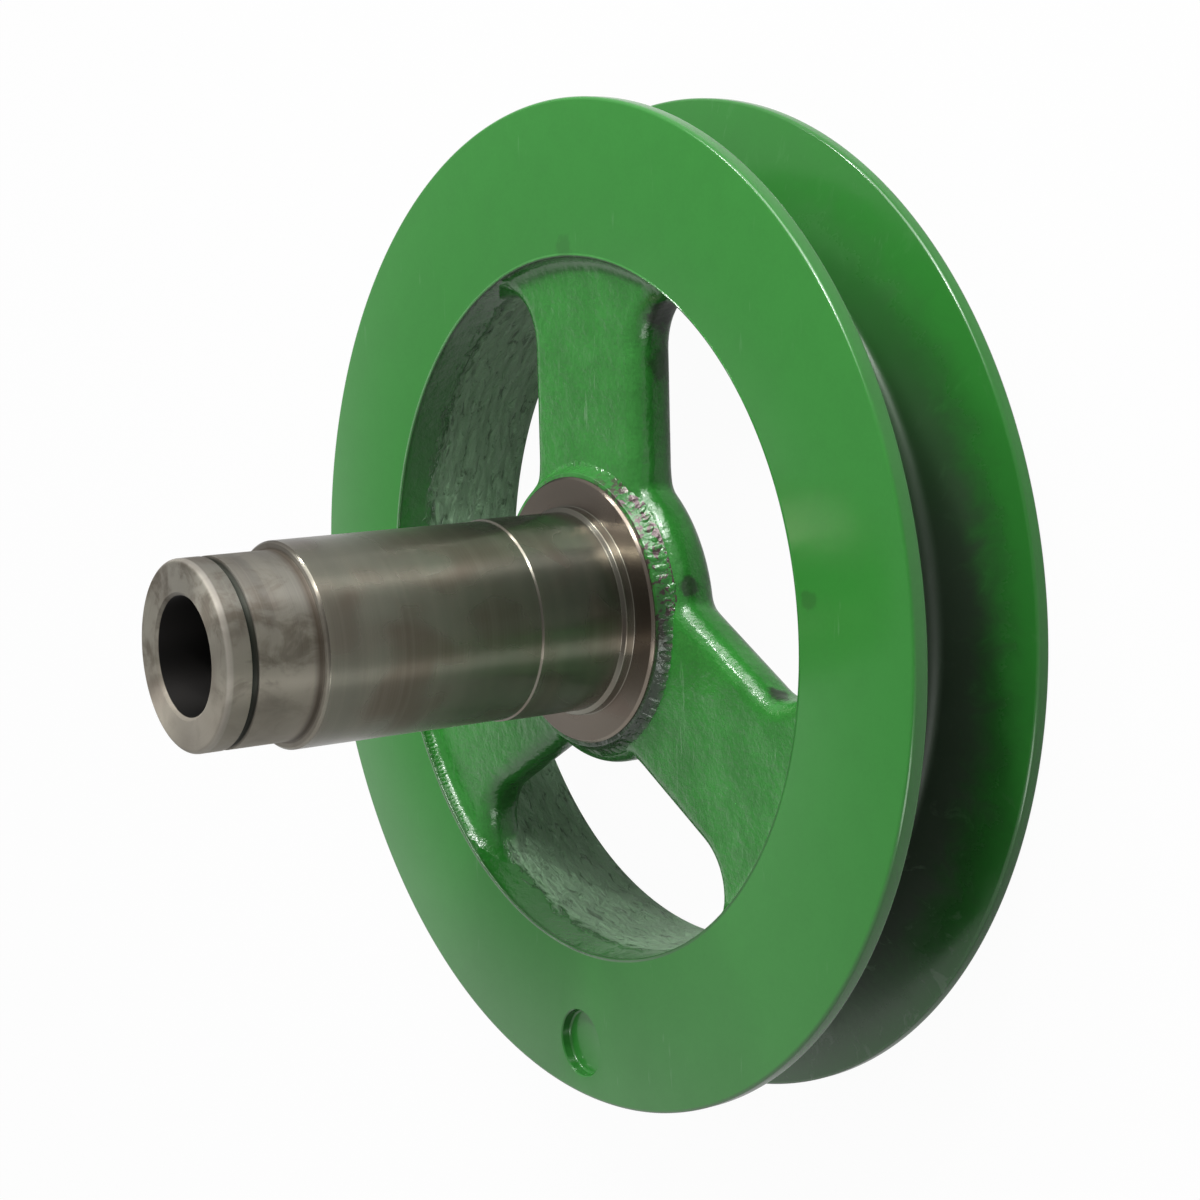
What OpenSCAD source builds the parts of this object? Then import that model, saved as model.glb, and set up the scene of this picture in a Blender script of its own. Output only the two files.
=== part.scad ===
// Spoked V-belt pulley: a cast wheel fixed on a turned hollow quill.
// The origin is the centre of the rim's back face, and +Z runs along the axis towards the quill's free end.

/* [Rim] */
// Outside diameter over the two belt flanges
rim_d = 254; // [235:1:280]
// Width of the rim from back face to front face
rim_w = 40; // [38:0.5:48]
// Diameter of the rim's opening at its front face
rim_bore_d = 176.5; // [165:0.5:184]
// Draft of the cast inner wall to either side of the parting plane, in degrees
draft = 3.5; // [1:0.5:5]
// Rounding of the turned outer corners of the rim
rim_edge_r = 1; // [0.4:0.1:1.5]

/* [Belt groove] */
// Depth of the groove below the outside diameter
groove_depth = 26; // [20:0.5:28]
// Included angle of the groove's two walls, in degrees
groove_angle = 28; // [24:1:34]
// Width of the front flange at the outside diameter
front_land = 4.3; // [3.5:0.1:5.5]
// Width of the back flange at the outside diameter
back_land = 3.6; // [3:0.1:5]
// Fillet where each wall meets the groove's floor
groove_root_r = 3; // [1:0.5:4]

/* [Spokes] */
// Number of spokes
spoke_n = 3; // [3:1:4]
// Width of each spoke, its sides are parallel
spoke_w = 47; // [36:1:52]
// Thickness of the spokes and of the hub disc
spoke_t = 12.2; // [11:0.2:14]
// Depth of the spokes' front faces below the rim's front face
spoke_recess = 3.6; // [2.5:0.1:6]
// Rounding along the front and back edges of the spokes
spoke_edge_r = 5; // [3:0.1:5.2]
// Corner radius of the windows beside the rim
window_rim_r = 13; // [8:0.5:16]
// Fillet between the spokes' faces and the rim
rim_fillet_r = 3.2; // [1.5:0.1:3.4]

/* [Hub of the wheel] */
// Diameter of the hub disc that the spokes grow from
hub_d = 79; // [76:1:86]
// Height of the hub disc's faces above the spokes' faces
hub_raise = 0.3; // [0.2:0.1:1]
// Bore of the hub, which the quill's spigot fills
hub_bore_d = 56; // [50:1:60]
// Diameter of the turned pad on the hub's back
hub_pad_d = 64; // [62:1:66]
// Height of the turned pad on the hub's back
hub_pad_h = 1; // [0.5:0.5:2]
// Radial leg of the fillet bead round the quill's flange
bead_leg = 4.6; // [3:0.1:5.4]
// Drop from the flange's face to the top of the bead
bead_drop = 0.9; // [0.5:0.1:1.5]
// Flat top of the bead beside the flange
bead_brow = 1; // [0.5:0.1:1.5]
// Hollow of the bead's slope
bead_sag = 0.4; // [0.2:0.1:0.8]
// Least distance from the bead's toe to the hub disc's outside
bead_margin = 0.6; // [0.4:0.1:1.2]

/* [Balance recess] */
// Diameter of the milled balance recess in the rim's front face
balance_d = 17.2; // [12:0.2:20]
// Depth of the balance recess
balance_depth = 2.8; // [1:0.1:3.5]
// Distance of the balance recess from the axis
balance_r = 113.2; // [104:0.2:114]
// Direction of the balance recess, in degrees from +X
balance_at = 268.5; // [250:0.5:290]

/* [Quill] */
// Diameter of the through bore
bore_d = 28; // [24:0.5:32]
// Chamfer at each end of the bore
bore_chamfer = 0.8; // [0.4:0.1:1.2]
// Diameter of the flange that seats on the wheel's hub
flange_d = 67.2; // [65:0.2:70]
// Thickness of the flange
flange_t = 3.8; // [3.5:0.1:5]
// Diameter of the collar that the first bearing abuts
collar_d = 52.4; // [51.8:0.1:54]
// Height of the collar above the flange's face
collar_h = 1.8; // [1.2:0.1:2.5]
// Diameter of the root bearing seat
root_seat_d = 50; // [49.8:0.05:50.2]
// Length from the flange's face to the outer end of the root bearing seat
root_seat_len = 26; // [22:0.5:30]
// Diameter of the plain shaft between the two seats
mid_d = 49.2; // [47:0.1:49.4]
// Length from the flange's face to the shoulder of the end bearing seat
shoulder_len = 83.8; // [70:0.2:95]
// Diameter of the end bearing seat
end_seat_d = 45; // [44.8:0.05:45.2]
// Length of the end bearing seat from its shoulder to the ring groove
end_seat_len = 16.2; // [14:0.1:20]
// Width of the retaining ring groove
ring_groove_w = 1.85; // [1.6:0.05:2.2]
// Diameter at the bottom of the retaining ring groove
ring_groove_d = 42.5; // [41:0.1:43.5]
// Width of the collar beyond the retaining ring groove
end_collar_w = 6.3; // [5:0.1:8]
// Rounding of the quill's free end
end_edge_r = 1.2; // [0.6:0.1:1.6]
// Chamfer on the corners of the seats and of the shoulder
seat_chamfer = 0.6; // [0.3:0.1:1]

/* [Hidden] */
$fn = 180;

PAINT = [0.27, 0.55, 0.28];
STEEL = [0.36, 0.35, 0.32];

// How far cutters run past a face, and how far the web runs into the rim
past = 2;
// Steps in which a section's rounded corners are drawn
corner_steps = 5;
// The corners' rounding is cut this much deeper than the sides', which run this far into it, so that no cuts share a face
seam_step = 0.05;
seam_lap = 0.5;
seam_turn = 3;
// First spoke along +Y
spoke_at = 90;
spoke_step = 360 / spoke_n;
// Levels along the axis, from the back face
web_front = rim_w - spoke_recess;
web_back = web_front - spoke_t;
hub_front = web_front + hub_raise;
parting = (web_front + web_back) / 2;
flange_face = hub_front + flange_t;
hub_back = web_back - hub_pad_h;
bead_top = flange_face - bead_drop;
shoulder = flange_face + shoulder_len;
ring_start = shoulder + end_seat_len;
quill_end = ring_start + ring_groove_w + end_collar_w;
// Radii
rim_r = rim_d / 2;
wall_front_r = rim_bore_d / 2;
wall_part_r = wall_front_r - (rim_w - parting) * tan(draft);
wall_back_r = wall_part_r + parting * tan(draft);
web_wall_r = wall_part_r + (web_front - parting) * tan(draft);
// Where the windows' corners touch the wall, half way up its draft
touch_r = (wall_part_r + web_wall_r) / 2;
hub_r = hub_d / 2;
// The spokes start inside the hub disc, and each takes this much of the circle to either side
inner_r = hub_bore_d / 2 + past;
core_r = inner_r + past;
spoke_reach = 0.4 * spoke_step;
flange_r = flange_d / 2;
floor_r = rim_r - groove_depth;
half_groove = groove_angle / 2;
spoke_half = spoke_w / 2;

// Directions in a half section, then along the belt groove's walls and the rim's drafted inner wall
inward = [-1, 0];
up = [0, 1];
down = [0, -1];
back_wall_out = [cos(half_groove), -sin(half_groove)];
front_wall_out = [cos(half_groove), sin(half_groove)];
wall_up = [sin(draft), cos(draft)];

// Points of the arc that rounds the corner at p between edges that leave it along the unit vectors a and b.
// The arc starts on the edge along a and ends on the edge along b.
function corner(p, a, b, r) =
    let (half = acos(a * b) / 2)
    let (centre = p + (a + b) / norm(a + b) * r / sin(half))
    let (foot = p + a * r / tan(half) - centre)
    let (turn = sign(a[0] * b[1] - a[1] * b[0]) * (2 * half - 180))
    [for (i = [0 : corner_steps]) centre + turned(foot, turn * i / corner_steps)];

// The vector v turned by an angle
function turned(v, angle) = [v[0] * cos(angle) - v[1] * sin(angle), v[0] * sin(angle) + v[1] * cos(angle)];

// Half section of the rim, radius along X and height along Y
module rim_section() {
    back_floor = [floor_r, back_land + groove_depth * tan(half_groove)];
    front_floor = [floor_r, rim_w - front_land - groove_depth * tan(half_groove)];
    polygon(concat(
        [[wall_back_r, 0]],
        corner([rim_r, 0], inward, up, rim_edge_r),
        corner([rim_r, back_land], down, -back_wall_out, rim_edge_r),
        corner(back_floor, back_wall_out, up, groove_root_r),
        corner(front_floor, down, front_wall_out, groove_root_r),
        corner([rim_r, rim_w - front_land], -front_wall_out, up, rim_edge_r),
        corner([rim_r, rim_w], down, inward, rim_edge_r),
        [[wall_front_r, rim_w]],
        [[wall_part_r, parting]]
    ));
}

// Section of the web's front half before its windows are cut, with the fillet at the rim that it runs into
module web_section() {
    blend = corner([web_wall_r, web_front], wall_up, inward, rim_fillet_r);
    polygon(concat(
        [[inner_r, parting - seam_lap]],
        [[web_wall_r + past, parting - seam_lap]],
        [[web_wall_r + past, blend[0][1]]],
        blend,
        [[inner_r, web_front]]
    ));
}

// Half section of the hub disc, with the turned pad behind it. In front, a slightly hollow bead
// fills the corner between the disc's rounded edge and the edge of the quill's flange.
module hub_section() {
    bore_r = hub_bore_d / 2;
    edge_centre = [hub_r - spoke_edge_r, hub_front - spoke_edge_r];
    toe_r = min(flange_r + bead_leg, hub_r - bead_margin);
    toe_turn = acos((toe_r - edge_centre[0]) / spoke_edge_r);
    toe = edge_centre + spoke_edge_r * [cos(toe_turn), sin(toe_turn)];
    brow = [flange_r + bead_brow, bead_top];
    belly = (brow + toe) / 2 + bead_sag * turned(toe - brow, -90) / norm(toe - brow);
    polygon(concat(
        [[bore_r, hub_back]],
        [[hub_pad_d / 2, hub_back]],
        [[hub_pad_d / 2, web_back - hub_raise]],
        corner([hub_r, web_back - hub_raise], inward, up, spoke_edge_r),
        [for (i = [0 : corner_steps]) edge_centre + turned([spoke_edge_r, 0], toe_turn * i / corner_steps)],
        [belly],
        [brow],
        [[flange_r, bead_top]],
        [[flange_r, hub_front]],
        [[bore_r, hub_front]]
    ));
}

// Plan of one window, between the spoke along +X and the next one.
// It runs on into the rim, and into the hub disc, which is joined on afterwards.
module window_plan() {
    far = web_wall_r + 2 * past;
    difference() {
        intersection() {
            circle(far);
            translate([-far, spoke_half]) square(2 * far);
            rotate(spoke_step) translate([-far, -spoke_half - 2 * far]) square(2 * far);
        }
        circle(core_r);
        both_sides() corner_stay();
    }
}

// Its children as drawn at the spoke along +X, and mirrored to the next spoke
module both_sides() {
    children();
    rotate(spoke_step) mirror([0, 1, 0]) children();
}

// Centre of the corner circle that touches the spoke's side and the rim's wall
function rim_corner() = let (w = spoke_half + window_rim_r) [sqrt(pow(touch_r - window_rim_r, 2) - w * w), w];

// What a window leaves standing in a corner: outside the corner circle, between its two points of contact
module corner_stay() {
    centre = rim_corner();
    along = centre / norm(centre);
    span = 3 * window_rim_r;
    difference() {
        polygon([
            centre,
            centre + down * span,
            centre + (down + along) * span,
            centre + along * span
        ]);
        translate(centre) circle(window_rim_r);
    }
}

// Section of what rounding takes off a window's front edge, and of what it clears beyond it.
// The window's wall stands at X 0 with the metal beyond it, and Y is the height.
// Its slope thins the fillet at the rim towards the window.
module edge_section() {
    edge = [0, web_front];
    clear = rim_fillet_r + past;
    polygon(concat(
        [edge + past * inward + spoke_edge_r * down],
        corner(edge, down, -inward, spoke_edge_r),
        [edge - (spoke_edge_r + clear) * inward + clear * up],
        [edge + past * inward + clear * up]
    ));
}

module window_cutter() {
    translate([0, 0, -past]) linear_extrude(rim_w + 2 * past) window_plan();
}

// Rounding along one straight side of a spoke
module side_rounding() {
    start = sqrt(pow(core_r, 2) - pow(spoke_half, 2)) - past;
    translate([start, spoke_half, 0])
        rotate([90, 0, 90])
            linear_extrude(rim_corner()[0] + seam_lap - start)
                mirror([1, 0]) edge_section();
}

// Rounding round the window's corner at the rim end of a spoke's side
module corner_rounding() {
    at = rim_corner();
    turn = 90 + atan2(at[1], at[0]) + seam_turn;
    translate([at[0], at[1], 0]) rotate(-90)
        rotate_extrude(angle = turn) translate([window_rim_r + seam_step, 0]) edge_section();
}

// Front half of one spoke along +X: a sector of the web, less the windows beside it and the rounding of their edges.
// It runs on into the hub disc and into the rim.
module half_spoke() {
    difference() {
        difference() {
            difference() {
                difference() {
                    rotate(-spoke_reach) rotate_extrude(angle = 2 * spoke_reach) web_section();
                    window_cutter();
                    mirror([0, 1, 0]) window_cutter();
                }
                side_rounding();
                mirror([0, 1, 0]) side_rounding();
            }
            corner_rounding();
        }
        mirror([0, 1, 0]) corner_rounding();
    }
}

// One spoke along +X, the same to either side of the parting plane
module spoke() {
    half_spoke();
    translate([0, 0, 2 * parting]) mirror([0, 0, 1]) half_spoke();
}

// The hub disc with its spokes
module spider() {
    for (i = [0 : spoke_n - 1])
        rotate(spoke_at + i * spoke_step) spoke();
    rotate_extrude() hub_section();
}

module balance_recess() {
    rotate(balance_at) translate([balance_r, 0, rim_w - balance_depth])
        cylinder(d = balance_d, h = balance_depth + past);
}

module rim() {
    difference() {
        rotate_extrude() rim_section();
        balance_recess();
    }
}

module cast_wheel() {
    color(PAINT) {
        rim();
        spider();
    }
}

// Outline of the quill from its back end to its free end, radius along X and height along Y
module quill_section() {
    bore_r = bore_d / 2;
    spigot_r = hub_bore_d / 2;
    collar_r = collar_d / 2;
    root_r = root_seat_d / 2;
    mid_r = mid_d / 2;
    end_r = end_seat_d / 2;
    groove_r = ring_groove_d / 2;
    collar_top = flange_face + collar_h;
    root_end = flange_face + root_seat_len;
    c = seat_chamfer;
    polygon(concat(
        [
            [bore_r, hub_back + bore_chamfer],
            [bore_r + bore_chamfer, hub_back],
            [spigot_r, hub_back],
            [spigot_r, hub_front],
            [flange_r, hub_front],
            [flange_r, flange_face - c],
            [flange_r - c, flange_face],
            [collar_r, flange_face],
            [collar_r, collar_top],
            [root_r, collar_top + collar_r - root_r],
            [root_r, root_end - 2 * (root_r - mid_r)],
            [mid_r, root_end],
            [mid_r, shoulder - c],
            [mid_r - c, shoulder],
            [end_r, shoulder],
            [end_r, ring_start],
            [groove_r, ring_start],
            [groove_r, ring_start + ring_groove_w],
            [end_r, ring_start + ring_groove_w]
        ],
        corner([end_r, quill_end], down, inward, end_edge_r),
        [
            [bore_r + bore_chamfer, quill_end],
            [bore_r, quill_end - bore_chamfer]
        ]
    ));
}

module bearing_quill() {
    color(STEEL) rotate_extrude() quill_section();
}

cast_wheel();
bearing_quill();
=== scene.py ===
# %% [markdown]
# A spoked belt pulley: a cast wheel with three spokes and a deep V groove, enamelled green, and a
# turned steel quill that is fixed in its hub. The CAD model is the frame that every piece has to fit.
# Blender only dresses it, so the frame is loaded first.

# %% Load the frame
import math

import bmesh
import bpy
import numpy as np
from mathutils import Matrix, Vector, noise
from mathutils.geometry import delaunay_2d_cdt


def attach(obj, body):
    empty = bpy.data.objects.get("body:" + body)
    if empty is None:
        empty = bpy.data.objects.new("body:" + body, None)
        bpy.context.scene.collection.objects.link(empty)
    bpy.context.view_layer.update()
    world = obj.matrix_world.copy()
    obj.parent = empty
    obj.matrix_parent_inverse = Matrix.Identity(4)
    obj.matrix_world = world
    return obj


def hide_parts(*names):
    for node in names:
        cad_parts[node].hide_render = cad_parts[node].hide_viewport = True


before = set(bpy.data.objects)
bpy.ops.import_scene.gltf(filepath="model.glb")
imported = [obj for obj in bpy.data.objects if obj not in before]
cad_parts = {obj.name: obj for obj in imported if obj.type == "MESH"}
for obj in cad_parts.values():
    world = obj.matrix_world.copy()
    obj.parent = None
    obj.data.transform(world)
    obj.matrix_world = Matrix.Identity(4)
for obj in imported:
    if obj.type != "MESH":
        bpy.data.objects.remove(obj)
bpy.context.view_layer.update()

# %% [markdown]
# The pulley lies on the wheel's back face with the quill pointing up, and the photograph looks down
# on it from the side with the camera turned, so that the picture's top is the pulley's +Y.
# A camera can be aimed by a constraint, by Euler angles or by its axes. The axes are used here, because
# they follow from two angles, a roll and a distance, each of which can be read off and changed.

# %% Camera
MM = 0.001
LOOK_AT = Vector((-0.3, 1.83, 32.35)) * MM
DISTANCE = 657.4 * MM
AZIMUTH = math.radians(9.2565)
ELEVATION = math.radians(34.2836)
ROLL = math.radians(-96.6485)
LENS = 77.879


def aim_camera():
    """A camera at the photograph's angle, with its frame square."""
    back = Vector((
        math.cos(ELEVATION) * math.cos(AZIMUTH),
        math.cos(ELEVATION) * math.sin(AZIMUTH),
        math.sin(ELEVATION),
    ))
    level = Vector((0, 0, 1)).cross(back).normalized()
    right = level * math.cos(ROLL) + back.cross(level) * math.sin(ROLL)
    place = Matrix((right, back.cross(right), back)).transposed().to_4x4()
    place.translation = LOOK_AT + back * DISTANCE
    data = bpy.data.cameras.new("camera")
    data.lens = LENS
    data.clip_start = 10 * MM
    camera = bpy.data.objects.new("camera", data)
    camera.matrix_world = place
    bpy.context.collection.objects.link(camera)
    bpy.context.scene.camera = camera
    return camera


camera = aim_camera()
print("camera at", [round(c, 4) for c in camera.matrix_world.translation])

# %% [markdown]
# The sizes repeat those of the pulley's CAD source, in millimetres. They could be measured on the
# frame's meshes, but those are faceted, and the source's own numbers are exact. The sections are drawn
# in millimetres too, and become metres only when a mesh is made.

# %% Sizes of the pulley
RIM_R = 127.0
RIM_W = 40.0
RIM_BORE_R = 88.25
DRAFT = math.tan(math.radians(3.5))
RIM_EDGE = 1.0
FLOOR_R = 101.0
GROOVE_SLOPE = math.tan(math.radians(14))
GROOVE_ROOT = 3.0
FRONT_LAND = 4.3
BACK_LAND = 3.6
WEB_FRONT = 36.4
WEB_BACK = 24.2
PARTING = (WEB_FRONT + WEB_BACK) / 2
HUB_RAISE = 0.3
HUB_FRONT = WEB_FRONT + HUB_RAISE
HUB_BACK = 23.2
WALL_PART_R = RIM_BORE_R - (RIM_W - PARTING) * DRAFT
WALL_BACK_R = WALL_PART_R + PARTING * DRAFT
WEB_WALL_R = WALL_PART_R + (WEB_FRONT - PARTING) * DRAFT
TOUCH_R = (WALL_PART_R + WEB_WALL_R) / 2
FLANGE_R = 33.6
FLANGE_FACE = 40.5
print("web from", WEB_BACK, "to", WEB_FRONT, "in a rim of", RIM_W)

# %% [markdown]
# Shapes and finishes are both made by node trees here. A tree can be drawn by hand in the editor,
# which shows each change at once, but a script keeps every value in view and gives the same tree each
# time. A few helpers make, fill and link the nodes, so that the cells that use them read like formulas.

# %% Helpers that make nodes
def fill(tree, socket, value):
    """Gives an input a plain value, or links another node's output to it."""
    if isinstance(value, bpy.types.NodeSocket):
        tree.links.new(value, socket)
    else:
        socket.default_value = value


def fill_inputs(tree, node, *values, **named):
    """Fills a node's inputs in their order, then by name."""
    for socket, value in zip(node.inputs, values):
        fill(tree, socket, value)
    for key, value in named.items():
        fill(tree, node.inputs[key.replace("_", " ")], value)
    return node


def add(tree, kind, *values, **named):
    return fill_inputs(tree, tree.nodes.new(kind), *values, **named)


def new_tree(name, kind, inputs, outputs):
    """A node group with sockets given as {name: type}, with what its ends give and take."""
    tree = bpy.data.node_groups.new(name, kind)
    for in_out, sockets in (("INPUT", inputs), ("OUTPUT", outputs)):
        for key, value in sockets.items():
            tree.interface.new_socket(key, in_out=in_out, socket_type="NodeSocket" + value)
    return tree, tree.nodes.new("NodeGroupInput").outputs, tree.nodes.new("NodeGroupOutput")


# %% Helpers that calculate
def math_node(tree, operation, *values):
    node = add(tree, "ShaderNodeMath", *values)
    node.operation = operation
    return node.outputs[0]


def times(tree, first, *others):
    for other in others:
        first = math_node(tree, "MULTIPLY", first, other)
    return first


def line(tree, value, slope, start):
    """start + slope * value"""
    return math_node(tree, "MULTIPLY_ADD", value, slope, start)


def ranged(tree, value, low, high, to_low=0.0, to_high=1.0, kind="SMOOTHSTEP"):
    """value carried from low..high to to_low..to_high, and held beyond them."""
    node = add(tree, "ShaderNodeMapRange", value, low, high, to_low, to_high)
    node.interpolation_type = kind
    return node.outputs["Result"]


def faded(tree, value, start, end, to_start=0.0, to_end=1.0):
    """Like ranged, between two places given in millimetres."""
    return ranged(tree, value, start * MM, end * MM, to_start, to_end)


def separated(tree, vector):
    return add(tree, "ShaderNodeSeparateXYZ", vector).outputs


def combined(tree, **axes):
    return add(tree, "ShaderNodeCombineXYZ", **axes).outputs[0]


def vector_math(tree, operation, a, b):
    node = add(tree, "ShaderNodeVectorMath", a, b)
    node.operation = operation
    return node.outputs


def radius_of(tree, axes):
    """Distance from the axis of a point in Object coordinates, which are in metres."""
    x2 = math_node(tree, "MULTIPLY", axes["X"], axes["X"])
    return math_node(tree, "SQRT", math_node(tree, "MULTIPLY_ADD", axes["Y"], axes["Y"], x2))


print("a millimetre is", MM, "of a metre")

# %% [markdown]
# Everything here but the spokes is a turned shape: a section carried once round the axis. Spin, the
# Screw modifier and Geometry Nodes can all do that. A node tree is used, which sweeps the section along
# a circle, because its segments stay a named input, and its result closes on itself without a seam.

# %% Sections with rounded corners
ARC_STEPS = 5


def rounded(points, steps=ARC_STEPS):
    """The closed outline through (r, z, rounding) points, each corner turned into an arc."""
    outline = []
    count = len(points)
    for i, (r, z, rounding) in enumerate(points):
        here = Vector((r, z))
        if rounding == 0:
            outline.append(here)
            continue
        a = (Vector(points[i - 1][:2]) - here).normalized()
        b = (Vector(points[(i + 1) % count][:2]) - here).normalized()
        half = a.angle(b) / 2
        centre = here + (a + b).normalized() * rounding / math.sin(half)
        start = here + a * rounding / math.tan(half) - centre
        end = here + b * rounding / math.tan(half) - centre
        turn = start.angle_signed(end)
        for k in range(steps + 1):
            angle = -turn * k / steps
            c, s = math.cos(angle), math.sin(angle)
            outline.append(centre + Vector((start.x * c - start.y * s, start.x * s + start.y * c)))
    return outline


def stepped(outline, step, wanted):
    """The outline with points added every step along those edges whose two ends wanted() accepts."""
    out = []
    for i, p in enumerate(outline):
        q = outline[(i + 1) % len(outline)]
        out.append(p)
        if wanted(p) and wanted(q):
            cuts = max(int((q - p).length / step), 1)
            out += [p.lerp(q, k / cuts) for k in range(1, cuts)]
    return out


print("a rounded corner has", ARC_STEPS + 1, "points")


# %% Node tree that turns a section round the axis
def made_real(tree, geometry, material):
    """The end of a tree: its instances become plain geometry with a material."""
    real = add(tree, "GeometryNodeRealizeInstances", geometry)
    return add(tree, "GeometryNodeSetMaterial", Geometry=real.outputs[0], Material=material).outputs[0]


def turning_tree():
    """Geometry nodes that sweep the edges of a mesh, as a section, along a circle round Z."""
    tree, given, out = new_tree(
        "turned_section", "GeometryNodeTree",
        {"Section": "Geometry", "Segments": "Int", "Circle Radius": "Float", "Material": "Material"},
        {"Turned": "Geometry"},
    )
    section = add(tree, "GeometryNodeMeshToCurve", Mesh=given["Section"])
    circle = add(
        tree, "GeometryNodeCurvePrimitiveCircle",
        Resolution=given["Segments"], Radius=given["Circle Radius"],
    )
    sweep = add(
        tree, "GeometryNodeCurveToMesh",
        Curve=circle.outputs["Curve"], Profile_Curve=section.outputs["Curve"],
    )
    fill_inputs(tree, out, Turned=made_real(tree, sweep.outputs["Mesh"], given["Material"]))
    return tree


TURNING = turning_tree()
print("turning tree has", len(TURNING.nodes), "nodes")


# %% [markdown]
# The modifier's result is fixed here once its inputs are set, so that later cells can move points
# and cut pockets. Edges sharper than an angle stay crisp, because a chamfer that shades as a soft
# swelling looks cast, not turned.

# %% Plain meshes from node trees
def input_of(tree, name):
    """The identifier of a tree's input, which a modifier needs to set it."""
    return next(
        item.identifier
        for item in tree.interface.items_tree
        if item.item_type == "SOCKET" and item.in_out == "INPUT" and item.name == name
    )


def new_object(name, mesh):
    piece = bpy.data.objects.new(name, mesh)
    bpy.context.collection.objects.link(piece)
    return piece


def as_plain(piece, name):
    """A plain copy of what an object's modifiers make, the modifiers themselves being removed."""
    graph = bpy.context.evaluated_depsgraph_get()
    mesh = bpy.data.meshes.new_from_object(piece.evaluated_get(graph))
    mesh.name = name
    piece.modifiers.clear()
    return mesh


def made_by_nodes(name, mesh, tree, **values):
    """An object whose plain mesh is what the tree makes of a mesh with these input values."""
    raw = new_object(name + "_raw", mesh)
    modifier = raw.modifiers.new("nodes", "NODES")
    modifier.node_group = tree
    for key, value in values.items():
        modifier[input_of(tree, key.replace("_", " "))] = value
    piece = new_object(name, as_plain(raw, name))
    bpy.data.objects.remove(raw)
    return piece


def mesh_of(work, name):
    """Ends the work on a mesh and returns it."""
    mesh = bpy.data.meshes.new(name)
    work.to_mesh(mesh)
    work.free()
    return mesh


def closed_and_outward(work):
    """Merges doubles, turns every face outwards, and counts the edges that are left open."""
    bmesh.ops.remove_doubles(work, verts=work.verts, dist=1e-7)
    bmesh.ops.recalc_face_normals(work, faces=work.faces)
    if work.calc_volume(signed=True) < 0:
        bmesh.ops.reverse_faces(work, faces=work.faces)
    return sum(1 for edge in work.edges if len(edge.link_faces) != 2)


def outward(mesh):
    work = bmesh.new()
    work.from_mesh(mesh)
    open_edges = closed_and_outward(work)
    work.to_mesh(mesh)
    work.free()
    return open_edges


def turned(name, outline, segments, material):
    """A solid turned from a closed outline of (r, z) points in millimetres."""
    ring = 100.0
    mesh = bpy.data.meshes.new(name + "_section")
    points = [((p.x - ring) * MM, -p.y * MM, 0) for p in outline]
    mesh.from_pydata(points, [(i, (i + 1) % len(points)) for i in range(len(points))], [])
    piece = made_by_nodes(
        name, mesh, TURNING, Segments=segments, Circle_Radius=ring * MM, Material=material
    )
    open_edges = outward(piece.data)
    triangles = sum(len(f.vertices) - 2 for f in piece.data.polygons)
    print(name, "has", triangles, "triangles and", open_edges, "open edges")
    return piece


def smooth_by_angle(mesh, degrees):
    """Smooth shading with the edges sharper than this angle kept crisp."""
    work = bmesh.new()
    work.from_mesh(mesh)
    limit = math.radians(degrees)
    for face in work.faces:
        face.smooth = True
    for edge in work.edges:
        edge.smooth = len(edge.link_faces) != 2 or edge.calc_face_angle(0) < limit
    work.to_mesh(mesh)
    work.free()


print("the tree's inputs:", input_of(TURNING, "Segments"), input_of(TURNING, "Circle Radius"))

# %% [markdown]
# Some effects recur over the whole pulley: the skin that the sand mould leaves under the enamel, the
# grime and rubs of use, the rings of the lathe, streaks round the mould's wall, and single greasy
# smudges and patches of painted shade. Painted images could hold them, but they would tie the looks
# to one size. Each is a shader node group with named inputs instead. They put out only heights and
# masks; the shader stays outside.

# %% Helpers for shader node groups
def shader_group(name, inputs, outputs):
    """A shader group whose sockets are numbers, but for the two inputs that are points."""
    kinds = {key: "Vector" if key in ("Place", "Centre") else "Float" for key in inputs}
    return new_tree(name, "ShaderNodeTree", kinds, dict.fromkeys(outputs, "Float"))


def noise_node(tree, vector, scale, detail=2.0, roughness=0.5, distortion=0.0):
    node = add(
        tree, "ShaderNodeTexNoise", Vector=vector, Scale=scale, Detail=detail,
        Roughness=roughness, Distortion=distortion,
    )
    return node.outputs["Fac"]


def placed(tree, group, vector, **values):
    """What a group puts out when it is fed with Object coordinates and these values."""
    node = tree.nodes.new("ShaderNodeGroup")
    node.node_tree = group
    return fill_inputs(tree, node, Place=vector, **values).outputs


# %% Cast skin group
def cast_skin_group():
    """Lumps of the sand mould under a coat of enamel: a broad swell, grains, and colour mottling."""
    tree, given, out = shader_group("cast_skin", ("Place", "Grain Size"), ("Height", "Mottle"))
    place = given["Place"]
    per_metre = math_node(tree, "DIVIDE", 1.0, given["Grain Size"])
    broad = noise_node(tree, place, scale=times(tree, per_metre, 0.22))
    grain = noise_node(tree, place, scale=per_metre, detail=3.0, roughness=0.6)
    fine = noise_node(tree, place, scale=times(tree, per_metre, 3.1))
    height = line(tree, fine, 0.14, line(tree, broad, 2.0, grain))
    blotch = noise_node(tree, place, scale=85.0, detail=4.0, roughness=0.6)
    speck = noise_node(tree, place, scale=900.0)
    both = line(tree, speck, 0.35, times(tree, blotch, 0.8))
    fill_inputs(tree, out, Height=height, Mottle=ranged(tree, both, 0.38, 0.78))
    return tree


CAST_SKIN = cast_skin_group()
print("cast skin:", len(CAST_SKIN.nodes), "nodes")


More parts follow.
